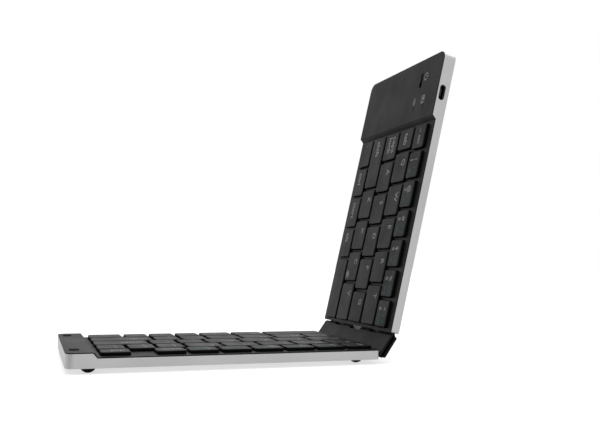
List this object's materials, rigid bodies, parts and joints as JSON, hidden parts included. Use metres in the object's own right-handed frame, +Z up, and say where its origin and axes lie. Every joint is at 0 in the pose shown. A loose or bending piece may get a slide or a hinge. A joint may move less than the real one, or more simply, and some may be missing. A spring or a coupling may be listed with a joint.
{
  "type": "folding keyboard",
  "caption": "Pocket folding keyboard: two thin aluminium trays of flat black keys on a narrow two-axis hinge spine, one half flat on its feet and the other raised.",
  "frame": {"origin": "on the surface it stands on, under the middle of its box with the left half raised", "axes": "+X to the typist's right, along the keyboard; +Y from the front edge to the rear edge; +Z up"},
  "size_m": [0.194, 0.092, 0.1625],
  "materials": {
    "tray_metal": "satin anodised silver",
    "deck_plastic": "fine matt black",
    "key_plastic": "matt black",
    "hinge_steel": "black-coated steel",
    "screw_steel": "bright steel",
    "contact_film": "printed film",
    "dome_rubber": "translucent white rubber",
    "foot_rubber": "matt black rubber",
    "pad_rubber": "matt black rubber",
    "spine_core_plastic": "black, in shadow",
    "spine_cover_plastic": "fine matt black",
    "cable_film": "black film",
    "board_laminate": "green laminate",
    "battery_pouch": "foil pouch",
    "socket_metal": "pressed metal",
    "window_plastic": "smoked clear plastic",
    "switch_plastic": "black"
  },
  "bodies": {
    "right_half": {"right_tray": "tray_metal", "right_deck": "deck_plastic", "right_key_plate": "hinge_steel", "right_contact_sheet": "contact_film", "right_domes": "dome_rubber", "right_hinge_leaves": "hinge_steel", "right_feet": "foot_rubber", "right_screws": "screw_steel", "end_pads": "pad_rubber"},
    "spine": {"spine_core": "spine_core_plastic", "spine_front_cover": "spine_cover_plastic", "spine_back_cover": "spine_cover_plastic", "hinge_pins": "hinge_steel", "flat_cable": "cable_film"},
    "left_half": {"left_tray": "tray_metal", "left_deck": "deck_plastic", "left_key_plate": "hinge_steel", "left_contact_sheet": "contact_film", "left_domes": "dome_rubber", "left_hinge_leaves": "hinge_steel", "left_feet": "foot_rubber", "left_screws": "screw_steel", "main_board": "board_laminate", "battery": "battery_pouch", "charging_socket": "socket_metal", "status_windows": "window_plastic", "switch_body": "switch_plastic"},
    "switch_knob": {"switch_knob": "switch_plastic"},
    "key_a": {"key_a": "key_plastic"},
    "key_c": {"key_c": "key_plastic"},
    "key_d": {"key_d": "key_plastic"},
    "key_e": {"key_e": "key_plastic"},
    "key_f": {"key_f": "key_plastic"},
    "key_g": {"key_g": "key_plastic"},
    "key_q": {"key_q": "key_plastic"},
    "key_r": {"key_r": "key_plastic"},
    "key_s": {"key_s": "key_plastic"},
    "key_t": {"key_t": "key_plastic"},
    "key_v": {"key_v": "key_plastic"},
    "key_w": {"key_w": "key_plastic"},
    "key_x": {"key_x": "key_plastic"},
    "key_z": {"key_z": "key_plastic"},
    "key_b": {"key_b": "key_plastic"},
    "key_h": {"key_h": "key_plastic"},
    "key_i": {"key_i": "key_plastic"},
    "key_j": {"key_j": "key_plastic"},
    "key_k": {"key_k": "key_plastic"},
    "key_l": {"key_l": "key_plastic"},
    "key_m": {"key_m": "key_plastic"},
    "key_n": {"key_n": "key_plastic"},
    "key_o": {"key_o": "key_plastic"},
    "key_p": {"key_p": "key_plastic"},
    "key_u": {"key_u": "key_plastic"},
    "key_y": {"key_y": "key_plastic"},
    "left_number_keys": {"left_number_keys": "key_plastic"},
    "left_side_keys": {"left_side_keys": "key_plastic"},
    "right_number_keys": {"right_number_keys": "key_plastic"},
    "right_side_keys": {"right_side_keys": "key_plastic"}
  },
  "joints": [
    {"name": "fold_right", "type": "hinge", "parent": "right_half", "child": "spine", "pos_m": [-0.05549, 0, 0.0049], "axis": [0, 1, 0], "range_deg": [-55.5, 34.5], "deforming": ["flat_cable"]},
    {"name": "fold_left", "type": "hinge", "parent": "spine", "child": "left_half", "pos_m": [-0.06098, 0, 0.01289], "axis": [0, 1, 0], "range_deg": [-21.8, 68.2], "deforming": ["flat_cable"]},
    {"name": "power_switch", "type": "slide", "parent": "left_half", "child": "switch_knob", "axis": [0.2198, 0, -0.9755], "range_m": [0, 0.003]},
    {"name": "press_a", "type": "slide", "parent": "left_half", "child": "key_a", "axis": [-0.9755, 0, -0.2198], "range_m": [0, 0.0012], "stiffness_N_per_m": 300, "deforming": ["left_domes"]},
    {"name": "press_c", "type": "slide", "parent": "left_half", "child": "key_c", "axis": [-0.9755, 0, -0.2198], "range_m": [0, 0.0012], "stiffness_N_per_m": 300},
    {"name": "press_d", "type": "slide", "parent": "left_half", "child": "key_d", "axis": [-0.9755, 0, -0.2198], "range_m": [0, 0.0012], "stiffness_N_per_m": 300},
    {"name": "press_e", "type": "slide", "parent": "left_half", "child": "key_e", "axis": [-0.9755, 0, -0.2198], "range_m": [0, 0.0012], "stiffness_N_per_m": 300},
    {"name": "press_f", "type": "slide", "parent": "left_half", "child": "key_f", "axis": [-0.9755, 0, -0.2198], "range_m": [0, 0.0012], "stiffness_N_per_m": 300},
    {"name": "press_g", "type": "slide", "parent": "left_half", "child": "key_g", "axis": [-0.9755, 0, -0.2198], "range_m": [0, 0.0012], "stiffness_N_per_m": 300},
    {"name": "press_q", "type": "slide", "parent": "left_half", "child": "key_q", "axis": [-0.9755, 0, -0.2198], "range_m": [0, 0.0012], "stiffness_N_per_m": 300},
    {"name": "press_r", "type": "slide", "parent": "left_half", "child": "key_r", "axis": [-0.9755, 0, -0.2198], "range_m": [0, 0.0012], "stiffness_N_per_m": 300},
    {"name": "press_s", "type": "slide", "parent": "left_half", "child": "key_s", "axis": [-0.9755, 0, -0.2198], "range_m": [0, 0.0012], "stiffness_N_per_m": 300},
    {"name": "press_t", "type": "slide", "parent": "left_half", "child": "key_t", "axis": [-0.9755, 0, -0.2198], "range_m": [0, 0.0012], "stiffness_N_per_m": 300},
    {"name": "press_v", "type": "slide", "parent": "left_half", "child": "key_v", "axis": [-0.9755, 0, -0.2198], "range_m": [0, 0.0012], "stiffness_N_per_m": 300},
    {"name": "press_w", "type": "slide", "parent": "left_half", "child": "key_w", "axis": [-0.9755, 0, -0.2198], "range_m": [0, 0.0012], "stiffness_N_per_m": 300},
    {"name": "press_x", "type": "slide", "parent": "left_half", "child": "key_x", "axis": [-0.9755, 0, -0.2198], "range_m": [0, 0.0012], "stiffness_N_per_m": 300},
    {"name": "press_z", "type": "slide", "parent": "left_half", "child": "key_z", "axis": [-0.9755, 0, -0.2198], "range_m": [0, 0.0012], "stiffness_N_per_m": 300},
    {"name": "press_b", "type": "slide", "parent": "right_half", "child": "key_b", "axis": [0, 0, -1], "range_m": [0, 0.0012], "stiffness_N_per_m": 300, "deforming": ["right_domes"]},
    {"name": "press_h", "type": "slide", "parent": "right_half", "child": "key_h", "axis": [0, 0, -1], "range_m": [0, 0.0012], "stiffness_N_per_m": 300},
    {"name": "press_i", "type": "slide", "parent": "right_half", "child": "key_i", "axis": [0, 0, -1], "range_m": [0, 0.0012], "stiffness_N_per_m": 300},
    {"name": "press_j", "type": "slide", "parent": "right_half", "child": "key_j", "axis": [0, 0, -1], "range_m": [0, 0.0012], "stiffness_N_per_m": 300},
    {"name": "press_k", "type": "slide", "parent": "right_half", "child": "key_k", "axis": [0, 0, -1], "range_m": [0, 0.0012], "stiffness_N_per_m": 300},
    {"name": "press_l", "type": "slide", "parent": "right_half", "child": "key_l", "axis": [0, 0, -1], "range_m": [0, 0.0012], "stiffness_N_per_m": 300},
    {"name": "press_m", "type": "slide", "parent": "right_half", "child": "key_m", "axis": [0, 0, -1], "range_m": [0, 0.0012], "stiffness_N_per_m": 300},
    {"name": "press_n", "type": "slide", "parent": "right_half", "child": "key_n", "axis": [0, 0, -1], "range_m": [0, 0.0012], "stiffness_N_per_m": 300},
    {"name": "press_o", "type": "slide", "parent": "right_half", "child": "key_o", "axis": [0, 0, -1], "range_m": [0, 0.0012], "stiffness_N_per_m": 300},
    {"name": "press_p", "type": "slide", "parent": "right_half", "child": "key_p", "axis": [0, 0, -1], "range_m": [0, 0.0012], "stiffness_N_per_m": 300},
    {"name": "press_u", "type": "slide", "parent": "right_half", "child": "key_u", "axis": [0, 0, -1], "range_m": [0, 0.0012], "stiffness_N_per_m": 300},
    {"name": "press_y", "type": "slide", "parent": "right_half", "child": "key_y", "axis": [0, 0, -1], "range_m": [0, 0.0012], "stiffness_N_per_m": 300},
    {"name": "press_left_number_keys", "type": "slide", "parent": "left_half", "child": "left_number_keys", "axis": [-0.9755, 0, -0.2198], "range_m": [0, 0.0012], "stiffness_N_per_m": 300},
    {"name": "press_left_side_keys", "type": "slide", "parent": "left_half", "child": "left_side_keys", "axis": [-0.9755, 0, -0.2198], "range_m": [0, 0.0012], "stiffness_N_per_m": 300},
    {"name": "press_right_number_keys", "type": "slide", "parent": "right_half", "child": "right_number_keys", "axis": [0, 0, -1], "range_m": [0, 0.0012], "stiffness_N_per_m": 300},
    {"name": "press_right_side_keys", "type": "slide", "parent": "right_half", "child": "right_side_keys", "axis": [0, 0, -1], "range_m": [0, 0.0012], "stiffness_N_per_m": 300}
  ]
}
